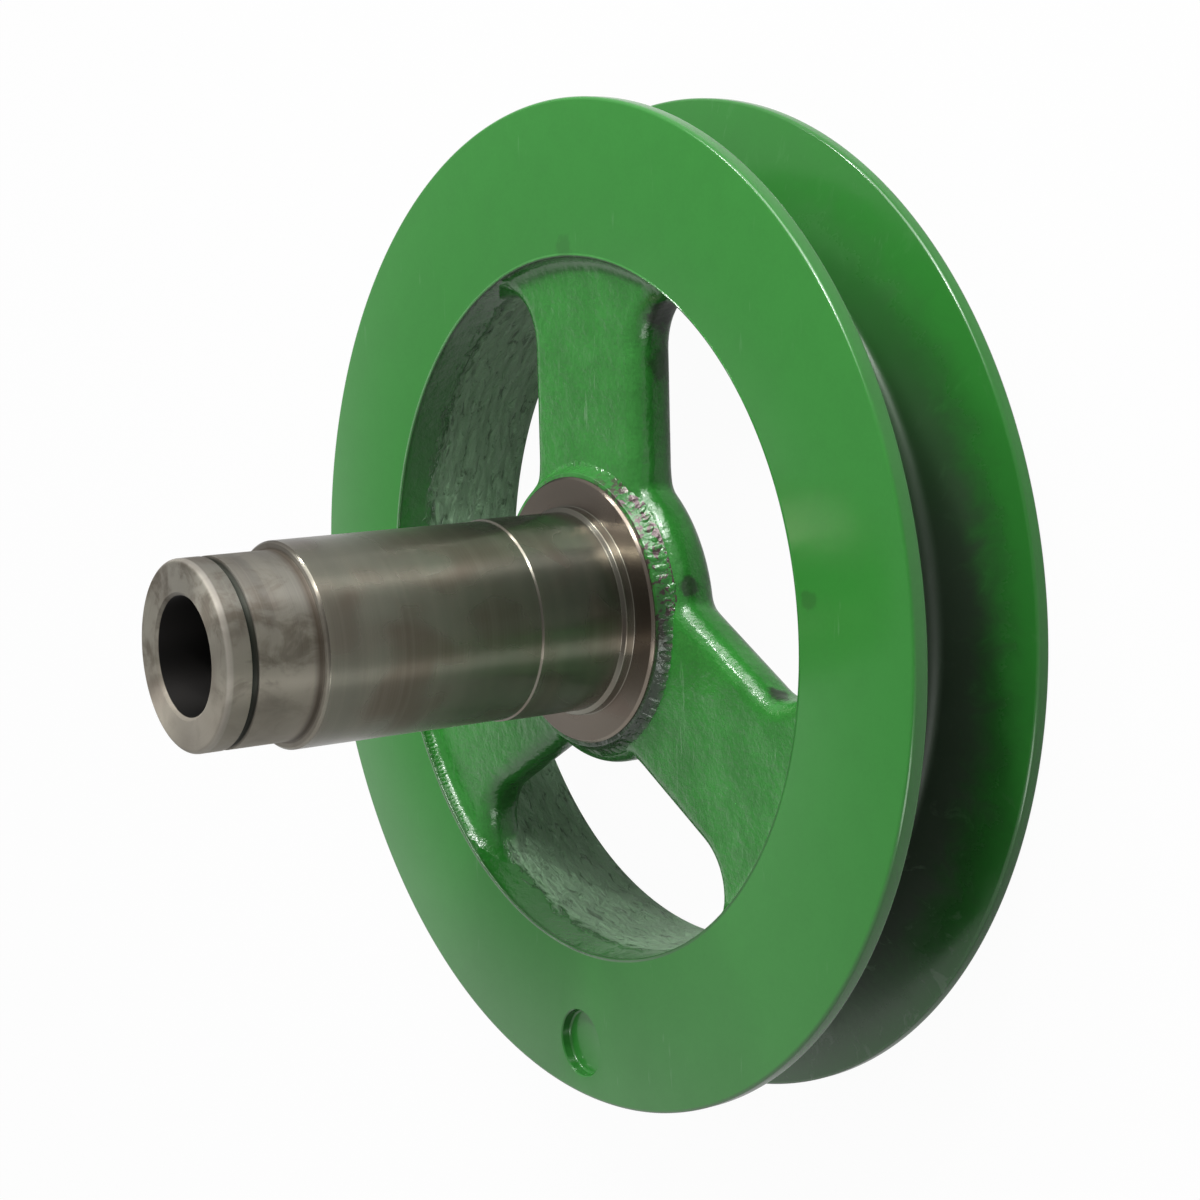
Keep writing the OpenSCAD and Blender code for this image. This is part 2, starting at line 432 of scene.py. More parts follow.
# %% Grime group
def grime_group():
    """Smudges of dark grease, and pale rubs, each a mask from 0 to 1."""
    tree, given, out = shader_group("grime", ("Place", "Amount", "Smudge Size"), ("Dirt", "Rub"))
    place = given["Place"]
    per_metre = math_node(tree, "DIVIDE", 1.0, given["Smudge Size"])
    cloud = noise_node(tree, place, scale=per_metre, detail=5.0, roughness=0.65, distortion=0.6)
    edge = math_node(tree, "SUBTRACT", 0.80, times(tree, given["Amount"], 0.35))
    dirt = ranged(tree, cloud, edge, math_node(tree, "ADD", edge, 0.12))
    along = vector_math(tree, "MULTIPLY", place, (1.0, 0.12, 0.6))[0]
    scratch = noise_node(tree, along, scale=420.0, detail=3.0, roughness=0.7)
    patch = noise_node(tree, place, scale=46.0)
    rub = times(tree, ranged(tree, scratch, 0.62, 0.70), ranged(tree, patch, 0.52, 0.66))
    fill_inputs(tree, out, Dirt=dirt, Rub=rub)
    return tree


GRIME = grime_group()
print("grime:", len(GRIME.nodes), "nodes")


# %% Lathe marks group
def lathe_group():
    """Rings that a turning tool leaves, on cylinders and faces alike, and patches of dulled steel."""
    tree, given, out = shader_group("lathe_marks", ("Place", "Pitch"), ("Height", "Rings", "Patch"))
    axes = separated(tree, given["Place"])
    section = combined(tree, X=radius_of(tree, axes), Z=axes["Z"])
    per_metre = math_node(tree, "DIVIDE", 1.0, given["Pitch"])
    fine = noise_node(tree, section, scale=per_metre, detail=3.0, roughness=0.7)
    wide = noise_node(tree, section, scale=260.0)
    rings = line(tree, wide, 0.6, times(tree, fine, 0.4))
    patch = noise_node(tree, given["Place"], scale=55.0, detail=1.5, distortion=0.4)
    fill_inputs(tree, out, Height=fine, Rings=rings, Patch=patch)
    return tree


LATHE = lathe_group()
print("lathe marks:", len(LATHE.nodes), "nodes")


# %% Drag marks group
def drag_group():
    """Uneven streaks that run round the axis, as on a wall drawn out of a sand mould."""
    tree, given, out = shader_group("drag_marks", ("Place", "Radius", "Density"), ("Streaks",))
    axes = separated(tree, given["Place"])
    angle = math_node(tree, "ARCTAN2", axes["X"], times(tree, axes["Y"], -1.0))
    unrolled = combined(tree, X=times(tree, angle, given["Radius"]), Y=times(tree, axes["Z"], 2.4))
    streaks = noise_node(
        tree, unrolled, scale=given["Density"], detail=5.0, roughness=0.68, distortion=0.7
    )
    fill_inputs(tree, out, Streaks=ranged(tree, streaks, 0.30, 0.70, kind="LINEAR"))
    return tree


DRAG = drag_group()
print("drag marks:", len(DRAG.nodes), "nodes")


# %% Smudge group
def smudge_and_shade_group():
    """One dark mask with a ragged edge, round a given place on the pulley: a greasy smudge, or a patch
    of painted shade.
    """
    tree, given, out = shader_group("smudge_and_shade", ("Place", "Centre", "Size"), ("Mask",))
    ragged = noise_node(tree, given["Place"], scale=240.0, detail=4.0, roughness=0.65)
    away = vector_math(tree, "DISTANCE", given["Place"], given["Centre"])["Value"]
    share = math_node(tree, "DIVIDE", away, given["Size"])
    share = math_node(tree, "ADD", share, line(tree, ragged, 1.6, -0.8))
    fill_inputs(tree, out, Mask=ranged(tree, share, 1.0, 0.55))
    return tree


SMUDGE_AND_SHADE = smudge_and_shade_group()
print("smudge:", len(SMUDGE_AND_SHADE.nodes), "nodes")

# %% [markdown]
# A finish is laid on in coats: a first colour, and over it others, each where its own mask is white
# and as strongly as it says. The alternative is a shader for each coat, mixed by weight, but the
# coats here differ in colour and roughness only, so one shader can carry them all.

# %% Helpers for materials
def new_material(name):
    material = bpy.data.materials.new(name)
    material.use_nodes = True
    tree = material.node_tree
    place = tree.nodes.new("ShaderNodeTexCoord").outputs["Object"]
    return material, tree, tree.nodes["Principled BSDF"], place


def coated(tree, colour, *coats):
    """A colour with coats over it, each given as its mask, its strength and its colour."""
    for mask, strength, coat in coats:
        node = tree.nodes.new("ShaderNodeMix")
        node.data_type = "RGBA"
        mask = mask if strength == 1 else times(tree, mask, strength)
        for socket, value in ((0, mask), (6, colour), (7, coat)):
            fill(tree, node.inputs[socket], value)
        colour = node.outputs[2]
    return colour


def bumped(tree, height, distance):
    """The normal of a surface that this height moves by this distance, in metres."""
    return add(tree, "ShaderNodeBump", Strength=1.0, Distance=distance, Height=height).outputs["Normal"]


# %% [markdown]
# The wheel is brushed or dipped in a gloss machine enamel, straight over the casting. The turned
# faces of the rim are smooth, and the wall inside it is rough from the mould, paler and duller; part of
# its paleness is a painted sheen, and the smooth band in front of it is painted darker as shade, as is
# the groove. One material serves all the enamelled pieces and tells the places apart by radius and
# height, so that the pieces meet without a change of colour.

# %% Colours of the enamel
GREEN = (0.027, 0.186, 0.027, 1)
DEEP_GREEN = (0.018, 0.136, 0.018, 1)
# Pale cast skin, made paler still as a painted sheen on the rough wall.
CHALKY_AND_SHEEN_GREEN = (0.310, 0.500, 0.310, 1)
# Grease, and also the colour of painted shade in creases, grooves and under the bead.
GREASE_AND_SHADE = (0.012, 0.017, 0.010, 1)
RUBBED = (0.30, 0.42, 0.30, 1)
PIT_GREEN = (0.026, 0.078, 0.026, 1)
# Painted shade: the darker green of the smooth band in front of the rough wall.
BAND_SHADE_GREEN = (0.013, 0.140, 0.013, 1)
# Belt rubber, deepened as painted shade towards the groove's floor and its lower side.
BELT_BLACK_AND_SHADE = (0.014, 0.018, 0.013, 1)

# Dark marks: the centre in millimetres, the size, and how dark it is. The two on the flank of the top
# spoke are painted shade.
HUB_CORNER_MARK = (39.4, 9.4, 33.0), 3.6, 0.80
SPOKE_END_MARK = (72.0, -11.5, 32.0), 4.2, 0.90
# Painted shade on the flank of the top spoke.
TOP_FLANK_SHADE = (28.2, 73.5, 30.0), 6.5, 0.95
UNDER_FLANK_SHADE = (25.6, 62.0, 29.0), 6.0, 0.65
LOW_CORNER_MARK = (-36.0, -64.0, 30.0), 9.0, 0.60
RIM_FACE_MARK = (92.7, 11.5, 40.0), 3.2, 0.28
OPENING_EDGE_MARK = (-1.0, 89.8, 40.0), 4.0, 0.20
MARKS = (
    HUB_CORNER_MARK, SPOKE_END_MARK, TOP_FLANK_SHADE, UNDER_FLANK_SHADE,
    LOW_CORNER_MARK, RIM_FACE_MARK, OPENING_EDGE_MARK,
)
print(len(MARKS), "marks of grease")

# %% Masks of the inner wall
# Each pair holds two radii or two heights, in millimetres, between which a mask fades in.
WITHIN_OPENING = 90.5, 89.8
OFF_THE_SPOKES = 85.0, 86.8
BEHIND_BAND = 31.8, 27.8
RAGGED_BY = 5.0
FACE_SIDE = 88.6, 88.3


def wall_masks(tree, radius, height, streaks):
    """Inside the opening, the rough wall from the mould, paled partly by a painted sheen, and the
    smooth band in front of it, darkened by painted shade.
    """
    inside = faded(tree, radius, *WITHIN_OPENING)
    middle = math_node(tree, "SUBTRACT", height, RAGGED_BY * MM / 2)
    behind = faded(tree, line(tree, streaks, RAGGED_BY * MM, middle), *BEHIND_BAND)
    at_wall = faded(tree, radius, *OFF_THE_SPOKES)
    wall = times(tree, inside, behind, at_wall)
    lip = times(tree, faded(tree, radius, *FACE_SIDE), at_wall)
    band = math_node(tree, "MAXIMUM", math_node(tree, "SUBTRACT", lip, wall), 0.0)
    return inside, wall, band


# %% Masks of the groove
GROOVE_FRONT = 37.0, 36.0
GROOVE_BACK = 2.0, 3.5
PAST_FLOOR = 97.0, 99.0
BELT_REACH = 128.0, 111.0
BELT_RAGGED = 6.0
# Painted shade: the black is stronger on the lower side.
BELT_UP_AND_DOWN = 115.0, 10.0
SCUFFED_FROM = -20.0, -90.0


def groove_masks(tree, axes, radius, streaks):
    """The groove, painted darker as shade, the black that the belt left deep in it, deepened as painted
    shade towards the floor and the lower side, and pale scuffs through the black.
    """
    front = faded(tree, axes["Z"], *GROOVE_FRONT)
    groove = times(tree, front, faded(tree, radius, *PAST_FLOOR), faded(tree, axes["Z"], *GROOVE_BACK))
    ragged = line(tree, streaks, BELT_RAGGED * MM, radius)
    belt_and_shade = times(tree, groove, faded(tree, ragged, *BELT_REACH))
    belt_and_shade = times(tree, belt_and_shade, faded(tree, axes["Y"], *BELT_UP_AND_DOWN, 0.12, 0.89))
    scuff = times(tree, groove, ranged(tree, streaks, 0.70, 0.92))
    scuff = times(tree, scuff, faded(tree, axes["Y"], *SCUFFED_FROM, 0.02, 0.30))
    return groove, belt_and_shade, scuff


# %% Masks of the grease and painted shade
CREASE = 83.5, 87.5
BELOW_FACE = 40.0, 38.5
EDGE_INNER = 87.7, 88.0
EDGE_OUTER = 88.8, 88.4
EDGE_UP = 38.8, 39.4
UPPER_SIDE = 50.0, 85.0


def grease_and_shade_mask(tree, place, radius, height, inside, cast, dirt):
    """Clouds of grease, made denser by painted shade in the crease behind the rim's face, and the
    single marks, two of which are painted shade.
    """
    # Painted shade: the grease is made denser in the crease behind the rim's face.
    crease = times(tree, faded(tree, radius, *CREASE), inside, faded(tree, height, *BELOW_FACE))
    grease_and_shade = times(tree, dirt, line(tree, crease, 0.35, line(tree, cast, 0.5, 0.12)))
    for centre, size, dark in MARKS:
        at = tuple(c * MM for c in centre)
        mark = placed(tree, SMUDGE_AND_SHADE, place, Centre=at, Size=size * MM)["Mask"]
        grease_and_shade = math_node(tree, "MAXIMUM", grease_and_shade, times(tree, mark, dark))
    return grease_and_shade


def edge_mask(tree, axes, radius):
    """The dark line along the opening's edge, stronger on the upper side, which also lays painted shade
    over the highlight of the edge's rounding.
    """
    ring = times(tree, faded(tree, radius, *EDGE_INNER), faded(tree, radius, *EDGE_OUTER))
    ring = times(tree, ring, faded(tree, axes["Z"], *EDGE_UP))
    return times(tree, ring, faded(tree, axes["Y"], *UPPER_SIDE, 0.55, 1.0))


# %% Enamel material
TURNED_FROM = 88.4, 89.2
ENAMEL_RELIEF = 0.00035


def enamel_material():
    material, tree, shader, place = new_material("green_enamel")
    axes = separated(tree, place)
    radius = radius_of(tree, axes)
    skin = placed(tree, CAST_SKIN, place, Grain_Size=0.0024)
    grime = placed(tree, GRIME, place, Amount=0.34, Smudge_Size=0.024)
    streaks = placed(tree, DRAG, place, Radius=0.087, Density=170.0)["Streaks"]
    inside, wall, band = wall_masks(tree, radius, axes["Z"], streaks)
    groove, belt_and_shade, scuff = groove_masks(tree, axes, radius, streaks)
    turned_face = faded(tree, radius, *TURNED_FROM)
    cast = math_node(tree, "SUBTRACT", 1.0, turned_face)
    grease_and_shade = grease_and_shade_mask(tree, place, radius, axes["Z"], inside, cast, grime["Dirt"])
    pits = times(tree, wall, ranged(tree, streaks, 0.40, 0.10))
    colour = coated(
        tree, GREEN,
        (skin["Mottle"], 1, DEEP_GREEN),
        (turned_face, 0.75, GREEN),
        # partly painted sheen: the rough wall is paled
        (wall, 0.8, CHALKY_AND_SHEEN_GREEN),
        # painted shade: the whole groove is darkened
        (groove, 0.5, DEEP_GREEN),
        # painted shade on the smooth band
        (band, 0.75, BAND_SHADE_GREEN),
        (pits, 0.75, PIT_GREEN),
        # grease, made denser in the crease by painted shade, and the dark marks
        (grease_and_shade, 1, GREASE_AND_SHADE),
        # belt rubber, partly painted shade
        (belt_and_shade, 1, BELT_BLACK_AND_SHADE),
        (scuff, 1, RUBBED),
        # a dark line along the edge, with painted shade over its rounding's highlight
        (edge_mask(tree, axes, radius), 0.6, GREASE_AND_SHADE),
        (grime["Rub"], line(tree, cast, 0.12, 0.08), RUBBED),
    )
    rough = line(tree, wall, 0.20, line(tree, cast, 0.03, 0.14))
    rough = line(tree, belt_and_shade, 0.40, line(tree, skin["Mottle"], 0.08, rough))
    coarse = line(tree, wall, 1.4, line(tree, cast, 0.70, 0.04))
    relief = line(tree, times(tree, streaks, wall), 3.5, times(tree, skin["Height"], coarse))
    fill_inputs(
        tree, shader, Base_Color=colour, Roughness=line(tree, grease_and_shade, 0.2, rough),
        Specular_IOR_Level=0.5, Normal=bumped(tree, relief, ENAMEL_RELIEF),
    )
    return material


ENAMEL = enamel_material()
print("enamel:", len(ENAMEL.node_tree.nodes), "nodes")

# %% [markdown]
# The quill is turned steel that has gone dark in use: a brown-grey film on the shaft, brighter where
# the bearing seats are ground, with a painted highlight on the nose's edge, and painted near black as
# shade in the bore. On the free end the lower side is painted lighter and the upper side darker, as
# light and shade. Metal shows its surroundings, so the dark colour is set on a metallic shader and
# the light does the rest. Turning leaves fine rings, which spread a highlight along the axis, so the
# shader is anisotropic. The free end is tarnished in clouds, and tarnish scatters light, so there
# the shader is only half metallic.

# %% Colours of the steel
SHAFT = (0.158, 0.153, 0.126, 1)
BROWN = (0.130, 0.109, 0.088, 1)
GROUND = (0.305, 0.276, 0.226, 1)
# Painted shade: the bore is painted near black.
NEAR_BLACK_SHADE = (0.022, 0.021, 0.020, 1)
STAIN = (0.210, 0.166, 0.136, 1)
RUST = (0.056, 0.041, 0.026, 1)
# The colour of a painted highlight on the nose's edge.
BRIGHT = (0.480, 0.450, 0.400, 1)
SHADE = (0.055, 0.054, 0.050, 1)

# %% Masks of the quill's free end
# As in the enamel, each pair holds two radii, heights or levels in millimetres.
FREE_END = 123.8, 124.6
END_FACE = 148.0, 148.6
OFF_END_FACE = 148.4, 147.8
# The lower side of the free end is painted lighter.
LOWER_SIDE = 4.0, -16.0
SHADED_UPPER_SIDE = 3.0, 15.0
TARNISH_DOWN = -16.0, 6.0


def tarnish_and_shade_masks(tree, place, axes, free_end):
    """Painted shade on the upper side, and brown clouds of tarnish, denser on the upper side as painted
    shade, that thin out towards the lower side.
    """
    upper = faded(tree, axes["Y"], *SHADED_UPPER_SIDE, 0.0, 0.62)
    upper = times(tree, upper, faded(tree, axes["Z"], *OFF_END_FACE), free_end)
    drawn_out = vector_math(tree, "MULTIPLY", place, (1.0, 1.0, 0.7))[0]
    clouds = noise_node(tree, drawn_out, scale=130.0, detail=4.0, roughness=0.62, distortion=0.5)
    # Painted shade: the tarnish is denser on the upper side.
    thinned = faded(tree, axes["Y"], *TARNISH_DOWN, 0.18, 0.70)
    return upper, times(tree, ranged(tree, clouds, 0.44, 0.66), free_end, thinned)


NOSE_HIGHLIGHT = (20.9, 21.3), (146.8, 147.4), (148.6, 148.3)
RING_GROOVE = (140.0, 140.4), (142.7, 142.3), (22.2, 21.7)
SHOULDER_CORNER = (127.2, 124.8), (23.2, 22.8)


def detail_masks(tree, axes, radius, free_end):
    """A painted highlight on the nose's edge, rust with painted shade at the shoulder's foot, and
    painted shade in the ring groove.
    """
    out, low, high = NOSE_HIGHLIGHT
    nose_highlight = times(
        tree, faded(tree, radius, *out), faded(tree, axes["Z"], *low), faded(tree, axes["Z"], *high)
    )
    up, under = SHOULDER_CORNER
    corner = times(tree, free_end, faded(tree, axes["Z"], *up, 0.0, 0.90), faded(tree, radius, *under))
    low, high, under = RING_GROOVE
    ring = times(
        tree, faded(tree, axes["Z"], *low), faded(tree, axes["Z"], *high), faded(tree, radius, *under)
    )
    return nose_highlight, corner, ring


# %% Steel material
FLANGE_RADIUS = 26.2, 26.8
FLANGE_HEIGHT = 43.0, 42.0
BORE_RADIUS = 14.15, 14.02
STEEL_RELIEF = 0.00002


def steel_material():
    material, tree, shader, place = new_material("turned_steel")
    axes = separated(tree, place)
    radius = radius_of(tree, axes)
    marks = placed(tree, LATHE, place, Pitch=0.0005)
    worn = ranged(tree, marks["Patch"], 0.42, 0.66)
    free_end = faded(tree, axes["Z"], *FREE_END)
    ground_and_lit_side = line(tree, faded(tree, axes["Z"], *END_FACE), -0.30, line(tree, worn, -0.34, 0.56))
    # Painted light: the free end is lighter on its lower side.
    ground_and_lit_side = line(tree, faded(tree, axes["Y"], *LOWER_SIDE), 0.55, ground_and_lit_side)
    upper, tarnish_and_shade = tarnish_and_shade_masks(tree, place, axes, free_end)
    nose_highlight, corner, ring = detail_masks(tree, axes, radius, free_end)
    flange = times(tree, faded(tree, radius, *FLANGE_RADIUS), faded(tree, axes["Z"], *FLANGE_HEIGHT))
    bore = faded(tree, radius, *BORE_RADIUS)
    colour = coated(
        tree, SHAFT,
        (worn, 1, BROWN),
        (free_end, ground_and_lit_side, GROUND),
        # painted shade on the upper side
        (upper, 1, SHADE),
        (tarnish_and_shade, 1, RUST),
        # painted highlight on the nose's edge
        (nose_highlight, 0.38, BRIGHT),
        # rust with painted shade at the shoulder's foot
        (corner, 1, RUST),
        # painted shade in the ring groove
        (ring, 1, GREASE_AND_SHADE),
        (ranged(tree, marks["Rings"], 0.40, 0.62), 0.14, GROUND),
        (flange, 0.55, STAIN),
        # painted shade in the bore
        (bore, 1, NEAR_BLACK_SHADE),
    )
    dull = math_node(tree, "MAXIMUM", math_node(tree, "SUBTRACT", free_end, bore), 0.0)
    rough = line(tree, free_end, 0.32, line(tree, marks["Patch"], 0.14, 0.20))
    fill_inputs(
        tree, shader, Base_Color=colour, Metallic=line(tree, dull, -0.50, 1.0),
        Roughness=line(tree, bore, 0.3, rough), Anisotropic=0.9, Anisotropic_Rotation=0.25,
        Normal=bumped(tree, marks["Height"], STEEL_RELIEF),
    )
    return material


STEEL = steel_material()
print("steel:", len(STEEL.node_tree.nodes), "nodes")

# %% [markdown]
# The rim is the heavy ring that carries the belt. Its outside and both edges are turned, and so are
# the walls of the groove. Its inner wall is as cast, tapered both ways from the mould's parting plane.

# %% Rim section
RIM_SEGMENTS = 720
INNER_EDGE = 0.4


def rim_outline():
    back_floor = BACK_LAND + (RIM_R - FLOOR_R) * GROOVE_SLOPE
    front_floor = RIM_W - FRONT_LAND - (RIM_R - FLOOR_R) * GROOVE_SLOPE
    return rounded([
        (WALL_BACK_R, 0, INNER_EDGE),
        (RIM_R, 0, RIM_EDGE),
        (RIM_R, BACK_LAND, RIM_EDGE),
        (FLOOR_R, back_floor, GROOVE_ROOT),
        (FLOOR_R, front_floor, GROOVE_ROOT),
        (RIM_R, RIM_W - FRONT_LAND, RIM_EDGE),
        (RIM_R, RIM_W, RIM_EDGE),
        (RIM_BORE_R, RIM_W, INNER_EDGE),
        (WALL_PART_R, PARTING, 0),
    ])


inner_wall = stepped(rim_outline(), 1.1, lambda p: p.x < WALL_BACK_R + 0.1)
rim = turned("rim", inner_wall, RIM_SEGMENTS, ENAMEL)

# %% [markdown]
# A mould leaves the wall lumpy, in lumps that run round it. They are large enough to be seen against
# the light, so the wall's own points are moved, and only the grain is left to the bump.

# %% Lumps on the cast wall
WALL_SMOOTH_BAND = 30.2
LUMP = 0.50
LUMP_ROUND = 9.0
LUMP_TALL = 3.2


def roughen_wall(mesh):
    moved = 0
    for vertex in mesh.vertices:
        x, y, z = vertex.co / MM
        r = math.hypot(x, y)
        if r > WALL_BACK_R + 0.3 or not 1.0 < z < WALL_SMOOTH_BAND:
            continue
        fade = min((z - 1.0) / 1.5, (WALL_SMOOTH_BAND - z) / 3.5, 1.0)
        around = Vector((x / LUMP_ROUND, y / LUMP_ROUND, z / LUMP_TALL))
        lump = noise.noise(around) + 0.5 * noise.noise(around * 2.3)
        r_new = r + LUMP * fade * (0.30 + lump)
        vertex.co.x *= r_new / r
        vertex.co.y *= r_new / r
        moved += 1
    return moved


print("moved", roughen_wall(rim.data), "points of the wall")

# %% [markdown]
# Balancing the wheel took a shallow milled pocket out of the rim's front face. A Boolean cuts it with
# a turned cutter whose corner at the floor is rounded, as the mill leaves it.

# %% Balance pocket
POCKET_R = 8.6
POCKET_DEPTH = 2.8
POCKET_FROM_AXIS = 113.2
POCKET_AT = math.radians(268.5)
POCKET_STEPS = 96
LEAD_IN = 0.45


def pocket_cutter():
    """The mill's path: a turned solid that stands out of the rim's face, over the pocket's place."""
    floor = RIM_W - POCKET_DEPTH
    outline = rounded([
        (0.0, floor, 0),
        (POCKET_R, floor, 0.8),
        (POCKET_R, RIM_W - 0.3, 0),
        (POCKET_R + LEAD_IN, RIM_W + 0.15, 0),
        (POCKET_R + LEAD_IN, RIM_W + 2, 0),
        (0.0, RIM_W + 2, 0),
    ])
    work = bmesh.new()
    verts = [work.verts.new((p.x * MM, 0, p.y * MM)) for p in outline]
    edges = [work.edges.new(pair) for pair in zip(verts, verts[1:])]
    bmesh.ops.spin(
        work, geom=verts + edges, axis=(0, 0, 1), cent=(0, 0, 0), steps=POCKET_STEPS, angle=2 * math.pi
    )
    print("cutter has", closed_and_outward(work), "open edges")
    at = Vector((math.cos(POCKET_AT), math.sin(POCKET_AT), 0)) * POCKET_FROM_AXIS * MM
    bmesh.ops.translate(work, verts=work.verts, vec=at)
    return new_object("pocket_cutter", mesh_of(work, "pocket_cutter"))


def cut_pocket(piece):
    cutter = pocket_cutter()
    boolean = piece.modifiers.new("pocket", "BOOLEAN")
    boolean.operation = "DIFFERENCE"
    boolean.solver = "EXACT"
    boolean.object = cutter
    piece.data = as_plain(piece, "rim")
    bpy.data.objects.remove(cutter)
    return len(piece.data.polygons)


print("rim with its pocket has", cut_pocket(rim), "faces")
smooth_by_angle(rim.data, 32)

# %% [markdown]
# The spokes grow out of the hub disc and run into the rim, with every edge rounded. Such a shape is
# often boxed out and smoothed by Subdivision Surface, which drifts from its sizes. It is planned here
# from above instead: the three windows' outlines are arcs and lines, and the height of the metal
# follows from the distance to the nearest window. So each corner keeps its radius.

# %% Outline of a window
SPOKES = 3
SPOKE_HALF = 23.5
EDGE_R = 5.0
RIM_CORNER_R = 13.0
HUB_CORNER_R = 3.3
HUB_R = 39.5
STEP = 1.5


def unit(angle):
    return Vector((math.cos(angle), math.sin(angle)))


def arc(centre, radius, start, end, inwards):
    """Points along an arc with the directions into the metal: away from the centre, or towards it."""
    steps = max(int(abs(end - start) * radius / STEP), 6)
    out = []
    for k in range(steps + 1):
        ray = unit(start + (end - start) * k / steps)
        out.append((centre + ray * radius, -ray if inwards else ray))
    return out


def half_window():
    """From the rim's wall down the side of the spoke along +X and half way round the hub."""
    offset = SPOKE_HALF + RIM_CORNER_R
    rim_corner = Vector((math.sqrt((TOUCH_R - RIM_CORNER_R) ** 2 - offset**2), offset))
    offset = SPOKE_HALF + HUB_CORNER_R
    hub_corner = Vector((math.sqrt((HUB_R + HUB_CORNER_R) ** 2 - offset**2), offset))
    touch = math.atan2(rim_corner.y, rim_corner.x)
    meet = math.atan2(hub_corner.y, hub_corner.x)
    side = Vector((rim_corner.x, SPOKE_HALF)), Vector((hub_corner.x, SPOKE_HALF))
    cuts = int((side[0] - side[1]).length / STEP)
    straight = [(side[0].lerp(side[1], k / cuts), Vector((0, -1))) for k in range(1, cuts)]
    return (
        arc(rim_corner, RIM_CORNER_R, touch, -math.pi / 2, False)
        + straight
        + arc(hub_corner, HUB_CORNER_R, -math.pi / 2, meet - math.pi, False)
        + arc(Vector((0, 0)), HUB_R, meet, math.pi / SPOKES, True)[1:]
    )


def whole_window(at):
    """The half and its mirror image, turned to the window that follows the spoke at this angle."""
    half = half_window()
    middle = math.pi / SPOKES
    c, s = math.cos(2 * middle), math.sin(2 * middle)
    mirror = Matrix(((c, s), (s, -c)))
    turn = Matrix.Rotation(at, 2)
    chain = half + [(mirror @ p, mirror @ n) for p, n in reversed(half[:-1])]
    return [(turn @ p, turn @ n) for p, n in chain]


windows = [whole_window(math.pi / 2 + k * 2 * math.pi / SPOKES) for k in range(SPOKES)]
print("each window's outline has", len(windows[0]), "points")

# %% [markdown]
# A height field over the plan gives each face its form: level on the spokes, raised a little at the
# hub, curved up into the rim's wall, rounded down at the windows, and with the slight swell that sand
# leaves. Sculpting would give the swell too, but it would not repeat, and it would spoil the level.

# %% Heights of the casting
FILLET_R = 3.0
PAD_R = 32.0
SWELL = 0.10
SWELL_SPREAD = 13.0


def smoothstep(low, high, value):
    t = min(max((value - low) / (high - low), 0.0), 1.0)
    return t * t * (3 - 2 * t)


def face_height(x, y, inset, side):
    """How far the front (side 1) or back (side -1) face lies from the parting plane, over a plan point
    that is inset by this much from the nearest window. The back of the hub is a turned pad."""
    r = math.hypot(x, y)
    if side < 0 and r < PAD_R - 0.1:
        return PARTING - HUB_BACK
    level = (WEB_FRONT - WEB_BACK) / 2
    level += HUB_RAISE * smoothstep(HUB_R + 3, HUB_R - 2, r)
    reach = WEB_WALL_R - r
    if reach < FILLET_R:
        rise = FILLET_R - math.sqrt(max(FILLET_R**2 - (FILLET_R - max(reach, 0.0)) ** 2, 0.0))
        level += rise * (0.5 + 0.5 * smoothstep(0, EDGE_R * 1.2, inset))
    if inset < EDGE_R:
        level -= EDGE_R - math.sqrt(EDGE_R**2 - (EDGE_R - max(inset, 0.0)) ** 2)
    place = Vector((x / SWELL_SPREAD, y / SWELL_SPREAD, 3.0 * side))
    swell = noise.noise(place) + 0.35 * noise.noise(place * 3.7)
    return level + SWELL * swell * smoothstep(34, 40, r) * smoothstep(0, EDGE_R, inset)


print("level of the spokes", face_height(60, 0, EDGE_R, 1))
print("level of the hub", face_height(30, 0, EDGE_R, 1))

# %% [markdown]
# The rounded edge round each window is a strip of rows, one for each step of the rounding. The flat of
# the spokes between the strips has no rule for its faces, so a constrained Delaunay triangulation fills
# it: it keeps the strips' last rows as edges and joins the points scattered between them.

# %% Strips along the windows
ROUND_STEPS = 9
insets = [EDGE_R * (1 - math.cos(math.pi / 2 * k / ROUND_STEPS)) for k in range(ROUND_STEPS + 1)]
OUTER_R = TOUCH_R + EDGE_R
BORE_R = 28.0


def plan_border():
    """The closed border of the flat, each strip's last row and then the arc across the next spoke,
    with the places where the strips start in it."""
    border, starts = [], []
    for k, chain in enumerate(windows):
        starts.append(len(border))
        border += [p + n * EDGE_R for p, n in chain]
        end = border[-1]
        start = windows[(k + 1) % SPOKES][0]
        start = start[0] + start[1] * EDGE_R
        a = math.atan2(end.y, end.x)
        turn = (math.atan2(start.y, start.x) - a) % (2 * math.pi)
        cuts = int(turn * OUTER_R / (2 * STEP))
        border += [unit(a + turn * i / cuts) * OUTER_R for i in range(1, cuts)]
    return border, starts


border, starts = plan_border()
edges_of_windows = np.array([[p.x, p.y] for chain in windows for p, _ in chain])
print("border of the flat has", len(border), "points")


def insets_of(points):
    """Distance of each plan point to the nearest window, worked out for a batch of points at a time."""
    points = np.asarray(points)
    out = np.empty(len(points))
    batch = 500
    for i in range(0, len(points), batch):
        part = points[i:i + batch, None, :] - edges_of_windows[None, :, :]
        out[i:i + batch] = np.sqrt((part**2).sum(axis=2).min(axis=1))
    return out


def within(points, loop):
    """Which plan points lie inside a closed loop."""
    points = np.asarray(points)
    loop = np.array([[p.x, p.y] for p in loop])
    ends = np.roll(loop, -1, axis=0)
    inside = np.zeros(len(points), bool)
    for (ax, ay), (bx, by) in zip(loop, ends):
        if ay == by:
            continue
        crosses = (ay > points[:, 1]) != (by > points[:, 1])
        inside ^= crosses & (points[:, 0] < ax + (points[:, 1] - ay) * (bx - ax) / (by - ay))
    return inside


